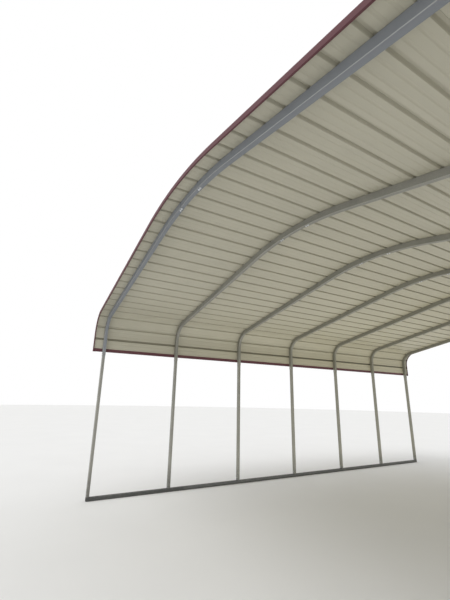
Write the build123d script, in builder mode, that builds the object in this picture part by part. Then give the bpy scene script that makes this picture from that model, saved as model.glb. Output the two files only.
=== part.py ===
from build123d import *
import math
import os

# Round-eave steel carport: galvanised rectangular tube bows on two base rails, with ribbed
# roof sheets laid lengthwise, bent down over the eaves, and folded trim on all four edges.
# Frame: X across, Y along the length, front gable at -Y, Z up, ground at Z = 0.

# Layout
frame_width = 7430.0
bow_count = 7
front_bay = 1425.0
bay = 1524.0
gable_overhang = 168.0
leg_length = 2438.4

# Rectangular tubes, deep across the carport and narrow along it, each size slipping into the next
bow_depth = 76.2
bow_width = 50.8
rail_height = 57.2
tube_wall = 2.1
tube_corner = 3.5
slip_clearance = 0.4
slip_length = 100.0
nipple_height = 150.0

# Bow shape, measured on the faces that the roof sheets lie on
stub_length = 389.0
eave_radius = 385.0
ridge_radius = 4150.0
roof_slope = 11.6
peak_reach = 205.0

# Roof sheets
sheet_thickness = 0.5
seat_gap = 0.3
lap_gap = 0.15
first_rib = 239.0
pitches_per_side = 19
rib_height = 19.0
rib_foot_width = 44.0
rib_top_width = 19.0
bead_height = 2.5
bead_foot_width = 24.0
bead_top_width = 8.0
beads_per_pitch = 2
pitches_per_sheet = 4
skirt_drop = 30.0
lap_lip = 8.0
lap_step = 4.0

# Trim on the gables and along the lower edges of the skirts
trim_thickness = 0.5
trim_drop = 21.0
trim_top_leg = 50.0
trim_hem = 14.0
trim_gap = 0.3
skirt_trim_inner_leg = 60.0
skirt_trim_outer_leg = 25.0
skirt_trim_notch_gap = 1.0

# Sizes that follow
slip_step = 2 * tube_wall + 2 * slip_clearance
post_depth = bow_depth - slip_step
post_width = bow_width - slip_step
nipple_depth = post_depth - slip_step
nipple_width = post_width - slip_step
leg_x = (frame_width - post_depth) / 2
bow_face_x = leg_x + bow_depth / 2
leg_top = rail_height + leg_length
stub_end = leg_top - slip_length
bend_start = stub_end + stub_length
frame_length = front_bay + bay * (bow_count - 2) + post_width
roof_length = frame_length + 2 * gable_overhang
first_bow_y = -frame_length / 2 + post_width / 2
slope = math.radians(roof_slope)

# Two stations closer than this are one place, and a turn of direction below this is none
same_station = 0.01
same_direction = 1e-4

os.makedirs("parts", exist_ok=True)


def bow_y(index):
    """Place of a bow's middle plane along the length, counted from the front."""
    if index == 0:
        return first_bow_y
    return first_bow_y + front_bay + bay * (index - 1)


def roof_wire():
    """The line of the tubes' outer faces in the XZ plane, from ground to ground over the ridge."""
    tangent_x = bow_face_x - eave_radius * (1 - math.sin(slope))
    tangent_z = bend_start + eave_radius * math.cos(slope)
    eave_z = tangent_z - (bow_face_x - tangent_x) * math.tan(slope)
    ridge_z = tangent_z + tangent_x * math.tan(slope)
    corners = [(-bow_face_x, 0), (-bow_face_x, eave_z), (0, ridge_z), (bow_face_x, eave_z), (bow_face_x, 0)]
    with BuildLine() as line:
        FilletPolyline(*corners, radius=[eave_radius, ridge_radius, eave_radius])
    return line.wire()


roof_line = roof_wire()
half_length = roof_line.length / 2
eave_stations = (bend_start, bend_start + eave_radius * (math.pi / 2 - slope))
ridge_stations = (half_length - ridge_radius * slope, half_length + ridge_radius * slope)
turn_stations = [
    eave_stations[0],
    eave_stations[1],
    *ridge_stations,
    2 * half_length - eave_stations[1],
    2 * half_length - eave_stations[0],
]


def at(station, lift=0.0):
    """Point on a layer of the roof, by its distance along the tubes' outer faces."""
    point = roof_line.position_at(station, PositionMode.LENGTH)
    along = roof_line.tangent_at(station, PositionMode.LENGTH)
    return (point.X - along.Y * lift, point.Y + along.X * lift)


def layer_run(start, end, lift=0.0):
    """Lines and arcs of one layer between two stations, broken where the roof starts to bend."""
    turns = [s for s in turn_stations if start + same_station < s < end - same_station]
    stops = [start, *turns, end]
    for a, b in zip(stops[:-1], stops[1:]):
        heading_a = roof_line.tangent_at(a, PositionMode.LENGTH)
        heading_b = roof_line.tangent_at(b, PositionMode.LENGTH)
        if (heading_a - heading_b).length < same_direction:
            Line(at(a, lift), at(b, lift))
        else:
            ThreePointArc(at(a, lift), at((a + b) / 2, lift), at(b, lift))


def tube_section(across, along):
    """Ring of a tube in the current sketch, its outer corners broken by short flats."""
    ring = Rectangle(across, along)
    chamfer(ring.vertices(), tube_corner)
    Rectangle(across - 2 * tube_wall, along - 2 * tube_wall, mode=Mode.SUBTRACT)


def save(solid, label):
    """Label a finished piece and write its file."""
    solid.label = label
    export_step(solid, f"parts/{label}.step")


sides = {"left": -1, "right": 1}

# Base rails: one tube on the ground each side, with a welded nipple for every leg
for side, sign in sides.items():
    with BuildPart() as base_rail:
        with BuildSketch(Plane.XZ.offset(frame_length / 2)) as rail_ring:
            with Locations((sign * leg_x, rail_height / 2)):
                tube_section(post_depth, rail_height)
        extrude(amount=-frame_length)
        with BuildSketch(Plane.XY.offset(rail_height)) as nipples:
            with Locations(*[(sign * leg_x, bow_y(i)) for i in range(bow_count)]):
                Rectangle(nipple_depth, nipple_width)
                Rectangle(nipple_depth - 2 * tube_wall, nipple_width - 2 * tube_wall, mode=Mode.SUBTRACT)
        extrude(amount=nipple_height)
    save(base_rail.part, f"base_rail_{side}")

# Legs: slipped over the nipples, standing on the rail
for side, sign in sides.items():
    for i in range(bow_count):
        with BuildPart() as leg:
            with BuildSketch(Plane.XY.offset(rail_height)) as leg_ring:
                with Locations((sign * leg_x, bow_y(i))):
                    tube_section(post_depth, post_width)
            extrude(amount=leg_length)
        save(leg.part, f"leg_{side}_{i + 1}")


def bow_wire(start, end):
    """Middle line of a bow tube between two stations, in the XZ plane."""
    with BuildLine() as line:
        layer_run(start, end, -bow_depth / 2)
    return line.wire()


def swept_tube(width, depth, start, end, y):
    """Tube along the bow's middle line."""
    path = Plane.XZ.offset(-y) * bow_wire(start, end)
    with BuildPart() as tube:
        with BuildSketch(Plane(path @ 0, z_dir=path % 0, x_dir=(0, 1, 0))) as ring:
            tube_section(width, depth)
        sweep(path=path)
    return tube.part


# Side pieces: stub over the leg, eave bend and rafter up to the peak piece
slip_station = half_length - peak_reach
for i in range(bow_count):
    left_piece = swept_tube(bow_width, bow_depth, stub_end, slip_station, bow_y(i))
    save(left_piece, f"side_bow_left_{i + 1}")
    right_piece = mirror(left_piece, about=Plane.YZ)
    save(right_piece, f"side_bow_right_{i + 1}")

# Peak pieces: smaller tube slipped into both side pieces
peak_start = slip_station - slip_length
for i in range(bow_count):
    peak = swept_tube(post_width, post_depth, peak_start, 2 * half_length - peak_start, bow_y(i))
    save(peak, f"peak_bow_{i + 1}")

# Roof sheets: lower edges a little under the tops of the legs, ribs from a first flat to one on the ridge
skirt_edge = leg_top - skirt_drop
rib_pitch = (half_length - skirt_edge - first_rib) / (pitches_per_side - 1)
pitch_count = 2 * pitches_per_side


def rib_station(number):
    """Middle of a rib, counted from the left edge, where the first and last places stay flat."""
    return half_length + (number - pitches_per_side) * rib_pitch


lap_lift = sheet_thickness + lap_gap


def fold_outline(station, size, lift):
    """Foot, crown and foot of a rib or bead as (station, lift), mitred to keep the layers parallel."""
    foot_width, top_width, height = size
    half_angle = math.atan2(height, (foot_width - top_width) / 2) / 2
    mitre = (lift - seat_gap) * math.tan(half_angle)
    return [
        (station - foot_width / 2 - mitre, lift),
        (station - top_width / 2 - mitre, lift + height),
        (station + top_width / 2 + mitre, lift + height),
        (station + foot_width / 2 + mitre, lift),
    ]


rib_size = (rib_foot_width, rib_top_width, rib_height)
bead_size = (bead_foot_width, bead_top_width, bead_height)


def under_edge(station, flat, side):
    """Rib and lip of the sheet that lies below in a lap, its flat going on to that side of the rib."""
    outline = fold_outline(station, rib_size, flat)
    lip = (station - side * (rib_foot_width / 2 + lap_lip), flat)
    return [lip, *outline] if side > 0 else [*outline, lip]


def over_edge(station, flat, side):
    """Rib and lip of the sheet that lies on top in a lap, stepping down to its flat past the lower lip."""
    lapped = flat + lap_lift
    outline = fold_outline(station, rib_size, lapped)
    clear_of_lip = rib_foot_width / 2 + lap_lip + lap_step
    lip = (station - side * (rib_foot_width / 2 + lap_lip), lapped)
    step_top = (station + side * clear_of_lip, lapped)
    step_foot = (station + side * (clear_of_lip + lap_step), flat)
    return [lip, *outline, step_top, step_foot] if side > 0 else [step_foot, step_top, *outline, lip]


def sheet_layer(first, last, depth):
    """Corners of one sheet from left to right, on its underside or a depth above it."""
    flat = seat_gap + depth
    corners = []
    for k in range(first, last + 1):
        station = rib_station(k)
        left_of_ridge = k < pitches_per_side
        if k == 0:
            corners.append((skirt_edge, flat))
        elif k == pitch_count:
            corners.append((2 * half_length - skirt_edge, flat))
        elif k == first:
            corners += over_edge(station, flat, 1) if left_of_ridge else under_edge(station, flat, 1)
        elif k == last:
            corners += under_edge(station, flat, -1) if left_of_ridge else over_edge(station, flat, -1)
        else:
            corners += fold_outline(station, rib_size, flat)
        if k < last:
            for n in range(1, beads_per_pitch + 1):
                bead_station = station + n * rib_pitch / (beads_per_pitch + 1)
                corners += fold_outline(bead_station, bead_size, flat)
    return corners


def layer_lines(corners):
    """Lines of one layer of a sheet, with every level stretch following the roof."""
    for (s0, h0), (s1, h1) in zip(corners[:-1], corners[1:]):
        if h0 == h1:
            layer_run(s0, s1, h0)
        else:
            Line(at(s0, h0), at(s1, h1))


def roof_sheet(first, last):
    """One ribbed sheet, drawn on the front gable's plane and drawn out to the back."""
    underside = sheet_layer(first, last, 0)
    upper = sheet_layer(first, last, sheet_thickness)
    with BuildPart() as sheet:
        with BuildSketch(Plane.XZ.offset(roof_length / 2)) as section:
            with BuildLine() as outline:
                layer_lines(underside)
                Line(at(*underside[-1]), at(*upper[-1]))
                layer_lines(upper)
                Line(at(*upper[0]), at(*underside[0]))
            make_face()
        extrude(amount=-roof_length)
    return sheet.part


for number, first in enumerate(range(0, pitch_count, pitches_per_sheet), start=1):
    last = min(first + pitches_per_sheet, pitch_count)
    save(roof_sheet(first, last), f"roof_sheet_{number}")

# Skirt trim: a channel over the sheet's lower edge, its inner leg notched round the bows
inner_leg_face = bow_face_x + seat_gap - trim_gap
outer_leg_face = bow_face_x + seat_gap + sheet_thickness + trim_gap
trim_bottom = skirt_edge - trim_gap - trim_thickness
web_top = trim_bottom + trim_thickness
notch_depth = bow_depth + 2 * seat_gap
notch_width = bow_width + 2 * skirt_trim_notch_gap
inner_leg_top = trim_bottom + skirt_trim_inner_leg
outer_leg_top = trim_bottom + skirt_trim_outer_leg


def strip_section(inner_x, outer_x, low, high):
    """Rectangle on the left skirt between two distances from the middle and two heights."""
    with Locations((-(inner_x + outer_x) / 2, (low + high) / 2)):
        Rectangle(outer_x - inner_x, high - low)


with BuildPart() as skirt_trim:
    with BuildSketch(Plane.XZ.offset(roof_length / 2)) as channel:
        strip_section(inner_leg_face - trim_thickness, inner_leg_face, trim_bottom, inner_leg_top)
        strip_section(inner_leg_face, outer_leg_face, trim_bottom, web_top)
        strip_section(outer_leg_face, outer_leg_face + trim_thickness, trim_bottom, outer_leg_top)
    extrude(amount=-roof_length)
    with BuildSketch(Plane.XY.offset(trim_bottom)) as notches:
        with Locations(*[(-leg_x, bow_y(i)) for i in range(bow_count)]):
            Rectangle(notch_depth, notch_width)
    extrude(amount=skirt_trim_inner_leg, mode=Mode.SUBTRACT)
save(skirt_trim.part, "skirt_trim_left")
save(mirror(skirt_trim.part, about=Plane.YZ), "skirt_trim_right")

# Gable trim: a leg on the ribs, a face over the sheets' ends and a hem turned in under them
trim_seat = seat_gap + 2 * sheet_thickness + lap_gap + rib_height + seat_gap


def layer_band(start, end, low, high):
    """Edges of the closed band between two layers of the roof."""
    with BuildLine() as band:
        layer_run(start, end, low)
        Line(at(end, low), at(end, high))
        layer_run(start, end, high)
        Line(at(start, high), at(start, low))
    return band.edges()


def gable_trim(start, end):
    """Left half of the front gable's trim."""
    front = roof_length / 2 + trim_gap
    with BuildPart() as trim:
        with BuildSketch(Plane.XZ.offset(front)) as face:
            make_face(layer_band(start, end, -trim_drop, trim_seat + trim_thickness))
        extrude(amount=trim_thickness)
        with BuildSketch(Plane.XZ.offset(front)) as top_leg:
            make_face(layer_band(start, end, trim_seat, trim_seat + trim_thickness))
        extrude(amount=-trim_top_leg)
        with BuildSketch(Plane.XZ.offset(front)) as hem:
            make_face(layer_band(start, end, -trim_drop, trim_thickness - trim_drop))
        extrude(amount=-trim_hem)
    return trim.part


front_left = gable_trim(trim_bottom, half_length - trim_gap / 2)
front_right = mirror(front_left, about=Plane.YZ)
save(front_left, "front_trim_left")
save(front_right, "front_trim_right")
save(mirror(front_left, about=Plane.XZ), "back_trim_left")
save(mirror(front_right, about=Plane.XZ), "back_trim_right")
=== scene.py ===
import math

import bmesh
import bpy
from bpy.props import FloatProperty, FloatVectorProperty, IntProperty, PointerProperty
from mathutils import Matrix, Vector


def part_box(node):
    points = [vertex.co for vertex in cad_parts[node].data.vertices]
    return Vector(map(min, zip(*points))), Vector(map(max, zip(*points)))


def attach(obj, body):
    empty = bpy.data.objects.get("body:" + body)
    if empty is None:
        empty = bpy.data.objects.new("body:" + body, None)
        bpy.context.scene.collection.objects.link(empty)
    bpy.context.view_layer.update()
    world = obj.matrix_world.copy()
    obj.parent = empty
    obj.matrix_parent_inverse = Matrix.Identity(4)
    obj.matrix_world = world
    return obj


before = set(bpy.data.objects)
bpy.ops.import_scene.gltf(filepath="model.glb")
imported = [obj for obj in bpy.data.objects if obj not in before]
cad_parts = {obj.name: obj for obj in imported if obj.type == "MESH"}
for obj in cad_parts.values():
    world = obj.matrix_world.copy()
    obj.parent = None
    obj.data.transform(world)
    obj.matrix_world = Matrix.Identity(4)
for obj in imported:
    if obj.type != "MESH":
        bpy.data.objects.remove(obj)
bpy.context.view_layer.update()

bl_info = {
    "name": "Round-eave steel carport",
    "version": (1, 0, 0),
    "blender": (4, 5, 0),
    "location": "View3D > Sidebar > Carport",
    "description": "Finishes, screws and stage of an open carport with a ribbed roof",
    "category": "Object",
}

BOWS = sum(name.startswith("leg_left_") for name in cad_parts)
BOW_LOW, BOW_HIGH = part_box("side_bow_right_1")
BOW_FACE_X = BOW_HIGH[0]
BOW_WIDTH = BOW_HIGH[1] - BOW_LOW[1]

HEAD_SIDES = 6
WASHER_SIDES = 12
FLOOR_SIDES = 96

# each soft lamp's width and length, its place, and its turn from shining straight down
SOFT_LAMPS = {
    "floor_light": ((4.2, 7.6), (-2.1, 1.0, 0.02), (math.pi, 0.0, 0.0)),
    "front_light": ((12.0, 3.0), (1.5, -16.0, 1.5), (math.radians(96), 0.0, 0.1)),
    "side_light": ((12.0, 3.0), (16.0, 0.0, 1.5), (math.radians(94), 0.0, math.pi / 2)),
}
FILM_SIDE = 36.0
CLIP_END = 300.0


class CarportRoofSizes(bpy.types.PropertyGroup):
    bend_height: FloatProperty(
        name="Bend height", description="Height at which the bows start to bend over the eaves",
        default=2.7846, unit="LENGTH")
    eave_radius: FloatProperty(
        name="Eave radius", description="Radius of the bows' outer face at the eaves",
        default=0.385, unit="LENGTH")
    ridge_radius: FloatProperty(
        name="Ridge radius", description="Radius of the bows' outer face at the ridge",
        default=4.15, unit="LENGTH")
    tube_depth: FloatProperty(
        name="Tube depth", description="Depth of a bow's tube from its outer to its inner face",
        default=0.0762, unit="LENGTH")
    slope: FloatProperty(
        name="Slope", description="Slope of the rafters",
        default=math.radians(11.6), subtype="ANGLE")
    rib_pitch: FloatProperty(
        name="Rib pitch", description="Distance from rib to rib of the sheets",
        default=0.22645, unit="LENGTH")
    rib_height: FloatProperty(
        name="Rib height", description="Height of a rib's crown over the tubes, with its lap",
        default=0.0208, unit="LENGTH")
    ribs_per_side: IntProperty(
        name="Ribs per side", description="Ribs between the ridge and the skirt's lower edge",
        default=18)
    flat_lift: FloatProperty(
        name="Sheet face", description="Outer face of the sheets' flats over the tubes",
        default=0.0008, unit="LENGTH")


class CarportScrewSizes(bpy.types.PropertyGroup):
    head_width: FloatProperty(
        name="Head width", description="Width across the flats of a screw's head",
        default=0.008, unit="LENGTH")
    head_height: FloatProperty(
        name="Head height", description="Height of a screw's head over its washer",
        default=0.0045, unit="LENGTH")
    head_bevel: FloatProperty(
        name="Head bevel", description="Bevel round the top of a screw's head",
        default=0.00072, unit="LENGTH")
    washer_width: FloatProperty(
        name="Washer width", description="Diameter of a screw's washer",
        default=0.015, unit="LENGTH")
    washer_top: FloatProperty(
        name="Washer top", description="Diameter of the washer where the head stands on it",
        default=0.0108, unit="LENGTH")
    washer_height: FloatProperty(
        name="Washer height", description="Height of a screw's washer",
        default=0.0018, unit="LENGTH")
    bolt_scale: FloatProperty(
        name="Bolt scale", description="Size of the nuts at the slip joints against a screw",
        default=1.7)
    beside_rib: FloatProperty(
        name="Beside rib",
        description="Distance of a roof screw from the middle of the rib below it",
        default=0.036, unit="LENGTH")
    joint_inset: FloatProperty(
        name="Joint inset",
        description="Distance of the first joint screw from the end of the outer tube",
        default=0.02, unit="LENGTH")
    joint_pitch: FloatProperty(
        name="Joint pitch", description="Distance between the two screws of a slip joint",
        default=0.034, unit="LENGTH")
    trim_inset: FloatProperty(
        name="Trim inset", description="Distance of a trim screw from the end of the sheets",
        default=0.03, unit="LENGTH")
    trim_lift: FloatProperty(
        name="Trim lift", description="Thickness of the trim between a rib and its screw",
        default=0.0005, unit="LENGTH")
    trim_ribs: IntProperty(
        name="Trim ribs", description="Ribs from one trim screw to the next", default=2)


class CarportColours(bpy.types.PropertyGroup):
    zinc: FloatVectorProperty(
        name="Zinc", description="Dull grey of the galvanised tubes",
        default=(0.235, 0.232, 0.205), size=3, min=0.0, max=1.0, subtype="COLOR")
    # painted warm light: a browner grey on the tubes towards the back, standing for warmer light
    # there
    warm_lit_zinc: FloatVectorProperty(
        name="Warm-lit zinc", description="Browner grey painted on the tubes towards the back for warmer light",
        default=(0.225, 0.215, 0.15), size=3, min=0.0, max=1.0, subtype="COLOR")
    # painted reflection: a cooler grey on the front bow above its legs, standing for the sky
    # mirrored in it
    sky_lit_front_zinc: FloatVectorProperty(
        name="Sky-lit front zinc", description="Cooler grey painted on the front bow above its legs as a sky reflection",
        default=(0.185, 0.20, 0.225), size=3, min=0.0, max=1.0, subtype="COLOR")
    # dark colour near the ground and on the base rails; on the rails it is dirt together with
    # painted shade
    soil_and_shade: FloatVectorProperty(
        name="Soil and shade", description="Dark colour of dirt and painted shade near the ground",
        default=(0.045, 0.047, 0.046), size=3, min=0.0, max=1.0, subtype="COLOR")
    backer: FloatVectorProperty(
        name="Underside paint", description="Pale paint on the underside of the sheets",
        default=(0.43, 0.41, 0.325), size=3, min=0.0, max=1.0, subtype="COLOR")
    # painted warm light: a yellower underside towards the back, standing for warmer light there
    warm_lit_backer: FloatVectorProperty(
        name="Warm-lit underside", description="Yellower colour painted on the underside towards the back for warmer light",
        default=(0.45, 0.41, 0.26), size=3, min=0.0, max=1.0, subtype="COLOR")
    # painted shade: the darkening of the underside, mostly in the ribs
    rib_shade: FloatVectorProperty(
        name="Rib dirt", description="Painted shade on the underside, mostly in the ribs",
        default=(0.13, 0.12, 0.075), size=3, min=0.0, max=1.0, subtype="COLOR")
    roof: FloatVectorProperty(
        name="Roof paint", description="Dark red paint on the outside of the sheets",
        default=(0.15, 0.02, 0.024), size=3, min=0.0, max=1.0, subtype="COLOR")
    roof_dust: FloatVectorProperty(
        name="Roof dust", description="Dust on the outside of the sheets",
        default=(0.27, 0.17, 0.15), size=3, min=0.0, max=1.0, subtype="COLOR")
    trim: FloatVectorProperty(
        name="Trim paint", description="Dark red paint of the trim",
        default=(0.085, 0.018, 0.026), size=3, min=0.0, max=1.0, subtype="COLOR")
    trim_dust: FloatVectorProperty(
        name="Trim dust", description="Dust on the trim",
        default=(0.20, 0.14, 0.13), size=3, min=0.0, max=1.0, subtype="COLOR")
    screw: FloatVectorProperty(
        name="Bright zinc", description="Bright zinc of the screws in the frame",
        default=(0.66, 0.68, 0.70), size=3, min=0.0, max=1.0, subtype="COLOR")
    floor: FloatVectorProperty(
        name="Floor", description="Main colour of the plain floor",
        default=(0.76, 0.76, 0.75), size=3, min=0.0, max=1.0, subtype="COLOR")
    floor_mottle: FloatVectorProperty(
        name="Floor mottle", description="Paler colour that clouds the floor",
        default=(0.80, 0.80, 0.79), size=3, min=0.0, max=1.0, subtype="COLOR")


# sizes of wear, of darkening near the ground, and of painted light and shade
class CarportWearAndLightSizes(bpy.types.PropertyGroup):
    # painted warm light on the tubes, along the carport
    zinc_warm_light: FloatVectorProperty(
        name="Zinc warm light", description="Along the carport, from the first to the full painted warm light",
        default=(-3.5, 1.0), size=2, unit="LENGTH")
    # where the painted sky reflection on the front bow fades along the carport, and where it
    # sets in by height
    front_fade: FloatVectorProperty(
        name="Front fade", description="Along the carport, where the front zinc fades away",
        default=(-4.3, -3.3), size=2, unit="LENGTH")
    front_foot: FloatVectorProperty(
        name="Front foot", description="Heights over which the front zinc sets in",
        default=(2.3, 2.5), size=2, unit="LENGTH")
    # darker towards the ground, in patches
    splash: FloatVectorProperty(
        name="Ground darkening", description="Heights over which the darkening near the ground fades away",
        default=(0.03, 0.5), size=2, unit="LENGTH")
    # dirt together with painted shade on the base rails
    rail_dirt_and_shade: FloatVectorProperty(
        name="Rail dirt", description="Heights over which the dirt on the base rails ends",
        default=(0.05, 0.075), size=2, unit="LENGTH")
    # painted warm light on the underside, along the carport
    paint_warm_light: FloatVectorProperty(
        name="Paint warm light", description="Along the carport, from the first to the full painted warm light",
        default=(-4.0, 1.5), size=2, unit="LENGTH")
    # painted shade in the ribs: how it grows along the carport, where it sets in on the rib
    # walls and where it eases on the crowns
    rib_shade_growth: FloatVectorProperty(
        name="Rib shade growth", description="Along the carport, from the least to the most rib dirt",
        default=(-3.5, 3.5), size=2, unit="LENGTH")
    rib_wall: FloatVectorProperty(
        name="Rib wall", description="Heights over the tubes at which the rib dirt sets in",
        default=(0.003, 0.007), size=2, unit="LENGTH")
    rib_crown: FloatVectorProperty(
        name="Rib crown", description="Heights over the tubes at which a rib's crown sets in",
        default=(0.0165, 0.0185), size=2, unit="LENGTH")
    # how far the stronger painted shade in the ribs reaches down the skirts
    skirt: FloatVectorProperty(
        name="Skirt", description="Heights from the bend over which a skirt's dirt fades away",
        default=(-0.1, 0.2), size=2, unit="LENGTH")
    # darker at the skirts' foot
    skirt_foot: FloatVectorProperty(
        name="Skirt foot", description="Heights from the bend over which its foot's dirt fades",
        default=(-0.26, -0.2), size=2, unit="LENGTH")


class CarportStageSizes(bpy.types.PropertyGroup):
    floor_radius: FloatProperty(
        name="Floor radius", description="Radius of the plain floor",
        default=60.0, unit="LENGTH")
    sky_light: FloatProperty(
        name="Sky light", description="Strength of the even light from all around", default=0.9)
    key_light: FloatProperty(
        name="Key light", description="Strength of the broad soft light from above", default=0.8)
    key_softness: FloatProperty(
        name="Key softness", description="Angle that the key light fills in the sky",
        default=math.radians(35), subtype="ANGLE")
    key_tilt: FloatProperty(
        name="Key tilt", description="Tilt of the key light from straight down",
        default=math.radians(38), subtype="ANGLE")
    key_turn: FloatProperty(
        name="Key turn", description="Turn of the key light about the upright",
        default=math.radians(35), subtype="ANGLE")
    floor_light: FloatProperty(
        name="Floor light", description="Power of the soft light under the roof",
        default=70.0, unit="POWER")
    front_light: FloatProperty(
        name="Front light", description="Power of the low soft light before the open front",
        default=220.0, unit="POWER")
    side_light: FloatProperty(
        name="Side light", description="Power of the low soft light beside the right legs",
        default=520.0, unit="POWER")
    camera_place: FloatVectorProperty(
        name="Camera place", description="Where the camera stands",
        default=(2.973, -5.7725, 1.699), size=3, unit="LENGTH")
    camera_turn: FloatProperty(
        name="Camera turn", description="Turn of the camera to the left of the carport's length",
        default=math.radians(60.24), subtype="ANGLE")
    camera_tilt: FloatProperty(
        name="Camera tilt", description="Upward tilt of the camera",
        default=math.radians(15.80), subtype="ANGLE")
    camera_roll: FloatProperty(
        name="Camera roll", description="Roll of the camera about its view",
        default=math.radians(1.19), subtype="ANGLE")
    lens: FloatProperty(
        name="Lens", description="Focal length on the 36 mm long side of the picture",
        default=20.646)


class Wire:
    """One output socket of a node tree, so that numbers on it are written as Python."""

    def __init__(self, tree, socket=None):
        self.tree = tree
        self.socket = socket

    def node(self, kind, settings, inputs, output=0):
        """A new node: its settings are made first, then each input is set or linked."""
        made = self.tree.nodes.new("ShaderNode" + kind)
        for name, value in settings.items():
            setattr(made, name, value)
        for name, value in inputs.items():
            if isinstance(value, Wire):
                self.tree.links.new(value.socket, made.inputs[name])
            elif made.inputs[name].type == "RGBA":
                made.inputs[name].default_value = (*value, 1.0)
            else:
                made.inputs[name].default_value = value
        return Wire(self.tree, made.outputs[output])

    def math(self, operation, *others):
        """A Math node on this number and the others, in that order."""
        return self.node("Math", {"operation": operation}, dict(enumerate((self, *others))))

    def __add__(self, other):
        return self.math("ADD", other)

    def __sub__(self, other):
        return self.math("SUBTRACT", other)

    def __rsub__(self, other):
        return self.node("Math", {"operation": "SUBTRACT"}, {0: other, 1: self})

    def __mul__(self, other):
        return self.math("MULTIPLY", other)

    def __gt__(self, other):
        return self.math("GREATER_THAN", other)

    __radd__ = __add__
    __rmul__ = __mul__

    def clamped(self, low, high):
        return self.math("MAXIMUM", low).math("MINIMUM", high)

    def ramp(self, low, high):
        """0 up to low, 1 from high on, and even between them."""
        return self.node(
            "MapRange", {"clamp": True}, {0: self, 1: low, 2: high, 3: 0.0, 4: 1.0})

    def mix(self, first, second):
        """First colour where this number is 0, second where it is 1."""
        return self.node("Mix", {"data_type": "RGBA"}, {0: self, 6: first, 7: second}, output=2)


def new_finish(name):
    """A new material, and the Object coordinates in it, which are the carport's own metres."""
    material = bpy.data.materials.new(name)
    material.use_nodes = True
    material.node_tree.nodes.clear()
    return material, Wire(material.node_tree).node("TexCoord", {}, {}, output="Object")


def axis(vector, name):
    """One of the three numbers of a vector."""
    return vector.node("SeparateXYZ", {}, {"Vector": vector}, output=name)


def stretched(vector, stretch):
    return vector.node("Mapping", {}, {"Vector": vector, "Scale": stretch})


def noise(vector, scale, detail=3.0, roughness=0.6):
    return vector.node("TexNoise", {}, {
        "Vector": vector, "Scale": scale, "Detail": detail, "Roughness": roughness})


def shade(colour, factor):
    return tuple(channel * factor for channel in colour)


def to_output(kind, shader):
    """Links a finished shader to the output of its material or world."""
    output = shader.tree.nodes.new(kind)
    shader.tree.links.new(shader.socket, output.inputs["Surface"])


def surface(colour, roughness, metallic, height, bump_distance):
    """The shader and the output of a finish, with bumps as high as bump_distance."""
    bump = height.node("Bump", {}, {
        "Strength": 1.0, "Distance": bump_distance, "Height": height})
    to_output("ShaderNodeOutputMaterial", colour.node("BsdfPrincipled", {}, {
        "Base Color": colour, "Roughness": roughness, "Metallic": metallic, "Normal": bump}))


def galvanised_finish(name, colours, marks):
    """Zinc coating: fine spangle, cloudy tones, painted highlights on the corners, painted warm
    light towards the back, a painted sky reflection on the front bow, darker near the ground,
    and dirt with painted shade on the base rails.
    """
    material, at = new_finish(name)
    along = axis(at, "Y")
    height = axis(at, "Z")
    spangle = at.node("TexVoronoi", {"feature": "F1"}, {
        "Vector": at, "Scale": 170.0, "Randomness": 1.0}, output="Color")
    flake = at.node("SeparateColor", {}, {"Color": spangle}, output="Red")
    cloud = noise(at, scale=4.0, detail=4.0)
    grime = noise(at, scale=24.0, detail=5.0, roughness=0.65)

    tone = (flake * 0.2 + cloud * 0.8).ramp(0.3, 0.7)
    zinc = tone.mix(shade(colours.zinc, 0.86), shade(colours.zinc, 1.12))
    # painted warm light: browner zinc towards the back
    warm_lit = (along.ramp(*marks.zinc_warm_light) * 0.5).mix(zinc, colours.warm_lit_zinc)
    # painted reflection: a cooler grey on the front bow above its legs, for the sky mirrored in
    # it
    front_bow = (1 - along.ramp(*marks.front_fade)) * height.ramp(*marks.front_foot)
    sky_lit = (front_bow * 0.9).mix(warm_lit, colours.sky_lit_front_zinc)

    # the normal's Y is 0 or 1 on a tube's flat faces, and its square is 0.5 on the corners
    across = axis(at.node("NewGeometry", {}, {}, output="True Normal"), "Y")
    corner = 1 - (across * across - 0.5).math("ABSOLUTE").ramp(0.1, 0.3)
    # painted highlight: lighter zinc along the tubes' corners
    highlighted = (corner * 0.4).mix(sky_lit, shade(colours.zinc, 1.7))

    # darker towards the ground in patches, and on the base rails dirt together with painted
    # shade
    darker_near_ground = (1 - height.ramp(*marks.splash)) * (0.3 + 0.6 * grime.ramp(0.4, 0.65))
    on_rail = 1 - height.ramp(*marks.rail_dirt_and_shade)
    darkening = (darker_near_ground + on_rail * 0.6).clamped(0.0, 1.0)
    surface(
        colour=(darkening * 0.9).mix(highlighted, colours.soil_and_shade),
        roughness=0.46 + cloud * 0.12 + darkening * 0.25,
        metallic=0.12 - darkening * 0.1,
        height=flake * 0.3 + grime * 0.7,
        bump_distance=0.0002)
    return material


def roof_turns(roof):
    """Middle of the eave's bend, foot and top of the rafter, and height of the ridge.

    All of them are on the tubes' outer faces, on the right side.
    """
    centre_x = BOW_FACE_X - roof.eave_radius
    foot = Vector((
        centre_x + roof.eave_radius * math.sin(roof.slope),
        roof.bend_height + roof.eave_radius * math.cos(roof.slope)))
    ridge_z = (foot.y + foot.x * math.tan(roof.slope)
               - roof.ridge_radius * (1 / math.cos(roof.slope) - 1))
    top = Vector((
        roof.ridge_radius * math.sin(roof.slope),
        ridge_z - roof.ridge_radius * (1 - math.cos(roof.slope))))
    return centre_x, foot, top, ridge_z


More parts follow.
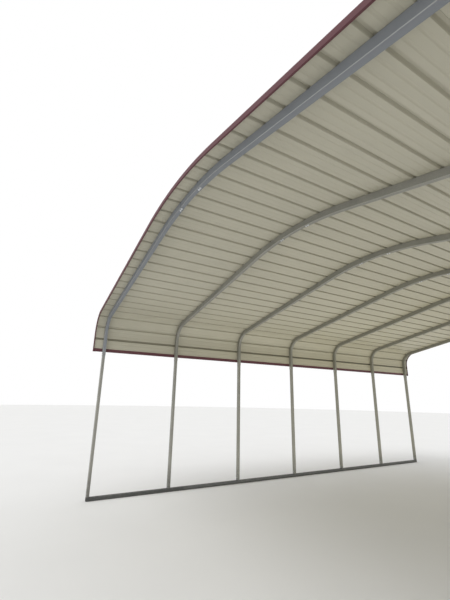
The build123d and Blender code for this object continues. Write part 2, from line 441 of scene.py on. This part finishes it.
def roof_finish(name, colours, roof, marks):
    """Roll-formed sheet: pale towards the tubes, with painted warm light towards the back,
    painted shade in the ribs and a darker skirt foot, dark red outside.
    """
    material, at = new_finish(name)
    x = axis(at, "X")
    y = axis(at, "Y")
    z = axis(at, "Z")
    centre_x, foot, top, ridge_z = roof_turns(roof)

    # a face is outside where it looks away from the middles of the bends
    outward = at.node("CombineXYZ", {}, {
        "X": x - x.clamped(-centre_x, centre_x),
        "Z": z - z.math("MINIMUM", roof.bend_height)})
    facing = at.node("NewGeometry", {}, {}, output="True Normal")
    outside = at.node("VectorMath", {"operation": "DOT_PRODUCT"}, {
        0: facing, 1: outward}, output="Value") > 0.0

    # height over the tubes' outer faces, under the ridge, along the rafter and round the eave
    reach = x.math("ABSOLUTE")
    on_ridge = reach.math("MINIMUM", top.x)
    ridge_rise = (roof.ridge_radius ** 2 - on_ridge * on_ridge).math("SQRT")
    rafter_drop = (reach - on_ridge) * math.tan(roof.slope)
    face_z = ridge_rise - rafter_drop + (ridge_z - roof.ridge_radius)
    over_rafter = (z - face_z) * math.cos(roof.slope)
    over_eave = at.node("VectorMath", {"operation": "LENGTH"}, {
        0: outward}, output="Value") - roof.eave_radius
    lift = over_rafter + (reach > foot.x) * (over_eave - over_rafter)

    cloud = noise(at, scale=1.1, detail=4.0)
    fine = noise(at, scale=60.0)
    streak = noise(stretched(at, (5.0, 0.35, 5.0)), scale=1.0, detail=2.0, roughness=0.5)
    tone = (cloud * 0.7 + streak * 0.3).ramp(0.3, 0.7)
    fresh = tone.mix(shade(colours.backer, 0.95), shade(colours.backer, 1.04))
    # painted warm light: yellower paint towards the back
    warm_lit = (y.ramp(*marks.paint_warm_light) * 0.5).mix(fresh, colours.warm_lit_backer)

    # painted shade in the ribs, more towards the back and in the skirts, less on the ribs'
    # crowns; the skirts' foot is a little darker
    skirt = 1 - z.ramp(*(roof.bend_height + over for over in marks.skirt))
    skirt_foot = 1 - z.ramp(*(roof.bend_height + over for over in marks.skirt_foot))
    wall = lift.ramp(*marks.rib_wall)
    crown = lift.ramp(*marks.rib_crown)
    shade_in_ribs = (0.2 + y.ramp(*marks.rib_shade_growth) * 0.45 + skirt * 0.6) * wall
    darkening = shade_in_ribs * (1 - crown * (1 - skirt) * 0.8) + skirt_foot * 0.1
    pale = darkening.clamped(0.0, 1.0).mix(warm_lit, colours.rib_shade)

    run = noise(stretched(at, (0.5, 6.0, 0.5)), scale=1.0, detail=2.0, roughness=0.5)
    dust = (cloud * 0.7 + run * 0.3).ramp(0.4, 0.75)
    red = (dust * 0.25).mix(colours.roof, colours.roof_dust)
    surface(
        colour=outside.mix(pale, red),
        roughness=0.40 + fine * 0.08 + outside * dust * 0.22,
        metallic=0.0,
        height=fine * 0.3 + cloud * 0.7,
        bump_distance=0.0004)
    return material


def trim_finish(name, colours):
    """Folded strip in low-gloss dark red, a little dusty."""
    material, at = new_finish(name)
    cloud = noise(at, scale=3.0, detail=4.0)
    fine = noise(at, scale=90.0)
    dust = (cloud * 0.7 + fine * 0.3).ramp(0.4, 0.75)
    surface(
        colour=(dust * 0.1).mix(colours.trim, colours.trim_dust),
        roughness=0.55 + dust * 0.15,
        metallic=0.0,
        height=fine * 0.4 + cloud * 0.6,
        bump_distance=0.0003)
    return material


def screw_finish(name, colour, metallic):
    """Screw heads, darker and lighter in small patches of wear."""
    material, at = new_finish(name)
    marks = noise(at, scale=160.0).ramp(0.35, 0.7)
    surface(
        colour=marks.mix(shade(colour, 0.8), shade(colour, 1.25)),
        roughness=0.36 + marks * 0.2,
        metallic=metallic,
        height=marks,
        bump_distance=0.0002)
    return material


def floor_finish(name, colours):
    """Plain pale floor with faint clouds in it."""
    material, at = new_finish(name)
    mottle = noise(at, scale=0.8, roughness=0.5)
    surface(
        colour=mottle.mix(colours.floor, colours.floor_mottle),
        roughness=0.85,
        metallic=0.0,
        height=mottle,
        bump_distance=0.0001)
    return material


def paint_nodes(material, *starts):
    """Gives a finish to every node whose name starts with one of these words."""
    chosen = [node for name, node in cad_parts.items() if name.startswith(starts)]
    if not chosen:
        raise RuntimeError("no node starts with " + ", ".join(starts))
    for node in chosen:
        for slot in node.material_slots:
            slot.material = material


def roof_place(roof, distance, lift):
    """Point and outward direction, by the distance from the ridge along the tubes' faces."""
    side = math.copysign(1.0, distance)
    along = abs(distance)
    centre_x, foot, top, ridge_z = roof_turns(roof)
    rafter_start = roof.ridge_radius * roof.slope
    rafter_run = (foot - top).length
    eave_start = rafter_start + rafter_run
    skirt_start = eave_start + roof.eave_radius * (math.pi / 2 - roof.slope)
    if along < rafter_start:
        turn = along / roof.ridge_radius
        point = Vector((
            roof.ridge_radius * math.sin(turn),
            ridge_z - roof.ridge_radius * (1 - math.cos(turn))))
    elif along < eave_start:
        turn = roof.slope
        point = top.lerp(foot, (along - rafter_start) / rafter_run)
    elif along < skirt_start:
        turn = roof.slope + (along - eave_start) / roof.eave_radius
        point = Vector((centre_x, roof.bend_height)) + roof.eave_radius * Vector((
            math.sin(turn), math.cos(turn)))
    else:
        turn = math.pi / 2
        point = Vector((BOW_FACE_X, roof.bend_height - (along - skirt_start)))
    outward = Vector((side * math.sin(turn), 0.0, math.cos(turn)))
    return Vector((side * point.x, 0.0, point.y)) + lift * outward, outward


def add_screw(mesh, screws, point, outward, scale=1.0):
    """One self-drilling screw: a sloped washer and a hexagonal head, standing on a face."""
    head_radius = screws.head_width * scale / math.sqrt(3)
    head_height = screws.head_height * scale
    washer_height = screws.washer_height * scale
    turned = Matrix.Translation(point) @ outward.to_track_quat("Z", "Y").to_matrix().to_4x4()
    bmesh.ops.create_cone(
        mesh, cap_ends=True, segments=WASHER_SIDES, radius1=screws.washer_width * scale / 2,
        radius2=screws.washer_top * scale / 2, depth=washer_height,
        matrix=turned @ Matrix.Translation((0, 0, washer_height / 2)))
    head = bmesh.ops.create_cone(
        mesh, cap_ends=True, segments=HEAD_SIDES, radius1=head_radius, radius2=head_radius,
        depth=head_height,
        matrix=turned @ Matrix.Translation((0, 0, washer_height + head_height / 2)))
    top = max(
        (face for vert in head["verts"] for face in vert.link_faces),
        key=lambda face: (face.calc_center_median() - point).dot(outward))
    bmesh.ops.bevel(
        mesh, geom=top.edges[:], offset=screws.head_bevel * scale, affect="EDGES", segments=1,
        profile=0.5, material=-1)


def finish_piece(name, mesh, material):
    """Turns a finished mesh into a piece that rides on the carport."""
    data = bpy.data.meshes.new(name)
    bmesh.ops.recalc_face_normals(mesh, faces=mesh.faces)
    mesh.to_mesh(data)
    mesh.free()
    data.materials.append(material)
    piece = bpy.data.objects.new(name, data)
    bpy.context.scene.collection.objects.link(piece)
    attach(piece, "root")


def bow_middle(number):
    """Where the middle of a bow stands along the carport."""
    low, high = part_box(f"leg_left_{number}")
    return (low[1] + high[1]) / 2


def lay_floor(scene):
    mesh = bmesh.new()
    bmesh.ops.create_circle(
        mesh, cap_ends=True, segments=FLOOR_SIDES, radius=scene.carport_stage.floor_radius)
    data = bpy.data.meshes.new("floor")
    mesh.to_mesh(data)
    mesh.free()
    data.materials.append(floor_finish("pale_floor", scene.carport_colours))
    floor = bpy.data.objects.new("floor", data)
    scene.collection.objects.link(floor)


def set_surroundings(scene):
    """Even light from all around, which is plain white where it is seen or mirrored."""
    world = bpy.data.worlds.new("surroundings")
    world.use_nodes = True
    world.node_tree.nodes.clear()
    sky = Wire(world.node_tree)
    seen = sky.node("LightPath", {}, {}, output="Is Camera Ray")
    glossy = sky.node("LightPath", {}, {}, output="Is Glossy Ray")
    through = sky.node("LightPath", {}, {}, output="Is Transmission Ray")
    backdrop = (seen + glossy + through).clamped(0.0, 1.0)
    sky_light = scene.carport_stage.sky_light
    strength = backdrop * (1.0 - sky_light) + sky_light
    to_output("ShaderNodeOutputWorld", sky.node("Background", {}, {
        "Color": (1.0, 1.0, 1.0), "Strength": strength}))
    scene.world = world


def hang_lamps(scene):
    stage = scene.carport_stage
    sun = bpy.data.lights.new("key_light", "SUN")
    sun.energy = stage.key_light
    sun.angle = stage.key_softness
    lamp = bpy.data.objects.new("key_light", sun)
    lamp.rotation_euler = (stage.key_tilt, 0.0, stage.key_turn)
    scene.collection.objects.link(lamp)

    for name, (size, place, turn) in SOFT_LAMPS.items():
        soft = bpy.data.lights.new(name, "AREA")
        soft.shape = "RECTANGLE"
        soft.size, soft.size_y = size
        soft.energy = getattr(stage, name)
        lamp = bpy.data.objects.new(name, soft)
        lamp.location = place
        lamp.rotation_euler = turn
        lamp.visible_camera = False
        scene.collection.objects.link(lamp)


def place_camera(scene):
    """The camera at the photo's viewing angle: turned first, then tilted, then rolled."""
    stage = scene.carport_stage
    right = Vector((math.cos(stage.camera_turn), math.sin(stage.camera_turn), 0.0))
    level = Vector((-math.sin(stage.camera_turn), math.cos(stage.camera_turn), 0.0))
    upright = Vector((0.0, 0.0, 1.0))
    forward = level * math.cos(stage.camera_tilt) + upright * math.sin(stage.camera_tilt)
    up = upright * math.cos(stage.camera_tilt) - level * math.sin(stage.camera_tilt)
    rolled_right = right * math.cos(stage.camera_roll) + up * math.sin(stage.camera_roll)
    rolled_up = up * math.cos(stage.camera_roll) - right * math.sin(stage.camera_roll)
    turned = Matrix((rolled_right, rolled_up, -forward)).transposed().to_4x4()

    data = bpy.data.cameras.new("camera")
    data.sensor_width = FILM_SIDE
    data.sensor_fit = "AUTO"
    data.lens = stage.lens
    data.clip_end = CLIP_END
    camera = bpy.data.objects.new("camera", data)
    camera.matrix_world = Matrix.Translation(stage.camera_place) @ turned
    scene.collection.objects.link(camera)
    scene.camera = camera


class CARPORT_OT_frame_finish(bpy.types.Operator):
    """Gives the base rails, legs and bows their galvanised finish"""

    bl_idname = "carport.frame_finish"
    bl_label = "Galvanised frame"

    def execute(self, context):
        scene = context.scene
        material = galvanised_finish(
            "galvanised_tube", scene.carport_colours, scene.carport_wear)
        paint_nodes(material, "base_rail_", "leg_", "side_bow_", "peak_bow_")
        return {"FINISHED"}


class CARPORT_OT_roof_finish(bpy.types.Operator):
    """Gives the ribbed sheets their two paints"""

    bl_idname = "carport.roof_finish"
    bl_label = "Roof paint"

    def execute(self, context):
        scene = context.scene
        material = roof_finish(
            "roof_sheet_paint", scene.carport_colours, scene.carport_roof, scene.carport_wear)
        paint_nodes(material, "roof_sheet_")
        return {"FINISHED"}


class CARPORT_OT_trim_finish(bpy.types.Operator):
    """Gives the gable and skirt trim its dark red paint"""

    bl_idname = "carport.trim_finish"
    bl_label = "Trim paint"

    def execute(self, context):
        material = trim_finish("trim_paint", context.scene.carport_colours)
        paint_nodes(material, "front_trim_", "back_trim_", "skirt_trim_")
        return {"FINISHED"}


class CARPORT_OT_roof_screws(bpy.types.Operator):
    """Screws through the sheets' flats into every bow, one beside each rib"""

    bl_idname = "carport.roof_screws"
    bl_label = "Roof screws"

    def execute(self, context):
        roof = context.scene.carport_roof
        screws = context.scene.carport_screws
        mesh = bmesh.new()
        for number in range(1, BOWS + 1):
            middle = bow_middle(number)
            for rib in range(-roof.ribs_per_side, roof.ribs_per_side + 1):
                beside = screws.beside_rib if rib < 0 else -screws.beside_rib
                point, outward = roof_place(
                    roof, rib * roof.rib_pitch + beside, roof.flat_lift)
                point.y = middle
                add_screw(mesh, screws, point, outward)
        material = screw_finish(
            "painted_screws", context.scene.carport_colours.roof, metallic=0.0)
        finish_piece("roof_screws", mesh, material)
        return {"FINISHED"}


class CARPORT_OT_frame_screws(bpy.types.Operator):
    """Screws that hold the legs' feet and the slip joints of the bows"""

    bl_idname = "carport.frame_screws"
    bl_label = "Frame screws"

    def execute(self, context):
        roof = context.scene.carport_roof
        screws = context.scene.carport_screws
        mesh = bmesh.new()
        steps = (screws.joint_inset, screws.joint_inset + screws.joint_pitch)
        for number in range(1, BOWS + 1):
            middle = bow_middle(number)
            peak_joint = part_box(f"side_bow_right_{number}")[0][0]
            for side in ("left", "right"):
                low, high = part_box(f"leg_{side}_{number}")
                leg_x = (low[0] + high[0]) / 2
                leg_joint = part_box(f"side_bow_{side}_{number}")[0][2]
                # half the width and the lower end of each tube that slips over another
                tubes = (((high[1] - low[1]) / 2, low[2]), (BOW_WIDTH / 2, leg_joint))
                for step in steps:
                    for facing in (-1, 1):
                        for half, end in tubes:
                            point = Vector((leg_x, middle + facing * half, end + step))
                            add_screw(mesh, screws, point, Vector((0.0, facing, 0.0)))
                    distance = math.copysign(peak_joint + step, leg_x)
                    point, outward = roof_place(roof, distance, -roof.tube_depth)
                    point.y = middle
                    add_screw(mesh, screws, point, -outward, screws.bolt_scale)
        material = screw_finish(
            "zinc_screws", context.scene.carport_colours.screw, metallic=0.7)
        finish_piece("frame_screws", mesh, material)
        return {"FINISHED"}


class CARPORT_OT_trim_screws(bpy.types.Operator):
    """Screws through the gable trims' upper legs into the ribs"""

    bl_idname = "carport.trim_screws"
    bl_label = "Trim screws"

    def execute(self, context):
        roof = context.scene.carport_roof
        screws = context.scene.carport_screws
        mesh = bmesh.new()
        low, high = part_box("roof_sheet_1")
        for end_y in (low[1] + screws.trim_inset, high[1] - screws.trim_inset):
            for rib in range(-roof.ribs_per_side, roof.ribs_per_side + 1, screws.trim_ribs):
                point, outward = roof_place(
                    roof, rib * roof.rib_pitch, roof.rib_height + screws.trim_lift)
                point.y = end_y
                add_screw(mesh, screws, point, outward)
        material = screw_finish(
            "trim_screws_paint", context.scene.carport_colours.trim, metallic=0.0)
        finish_piece("trim_screws", mesh, material)
        return {"FINISHED"}


class CARPORT_OT_stage(bpy.types.Operator):
    """Plain pale floor, white surroundings, soft lights and the camera"""

    bl_idname = "carport.stage"
    bl_label = "Stage"

    def execute(self, context):
        context.scene.view_settings.view_transform = "Standard"
        lay_floor(context.scene)
        set_surroundings(context.scene)
        hang_lamps(context.scene)
        place_camera(context.scene)
        return {"FINISHED"}


STEPS = (
    CARPORT_OT_frame_finish,
    CARPORT_OT_roof_finish,
    CARPORT_OT_trim_finish,
    CARPORT_OT_roof_screws,
    CARPORT_OT_frame_screws,
    CARPORT_OT_trim_screws,
    CARPORT_OT_stage,
)
GROUPS = (
    ("carport_roof", CarportRoofSizes),
    ("carport_screws", CarportScrewSizes),
    ("carport_colours", CarportColours),
    ("carport_wear", CarportWearAndLightSizes),
    ("carport_stage", CarportStageSizes),
)


class CARPORT_PT_panel(bpy.types.Panel):
    """The carport's steps and settings"""

    bl_idname = "CARPORT_PT_panel"
    bl_label = "Carport"
    bl_space_type = "VIEW_3D"
    bl_region_type = "UI"
    bl_category = "Carport"

    def draw(self, context):
        for step in STEPS:
            self.layout.operator(step.bl_idname)
        for name, group in GROUPS:
            box = self.layout.box()
            for setting in group.__annotations__:
                box.prop(getattr(context.scene, name), setting)


def register():
    for name, group in GROUPS:
        bpy.utils.register_class(group)
        setattr(bpy.types.Scene, name, PointerProperty(type=group))
    for step in STEPS:
        bpy.utils.register_class(step)
    bpy.utils.register_class(CARPORT_PT_panel)


def unregister():
    bpy.utils.unregister_class(CARPORT_PT_panel)
    for step in reversed(STEPS):
        bpy.utils.unregister_class(step)
    for name, group in reversed(GROUPS):
        delattr(bpy.types.Scene, name)
        bpy.utils.unregister_class(group)


def main():
    register()
    bpy.ops.carport.frame_finish()
    bpy.ops.carport.roof_finish()
    bpy.ops.carport.trim_finish()
    bpy.ops.carport.roof_screws()
    bpy.ops.carport.frame_screws()
    bpy.ops.carport.trim_screws()
    bpy.ops.carport.stage()


if __name__ == "__main__":
    main()
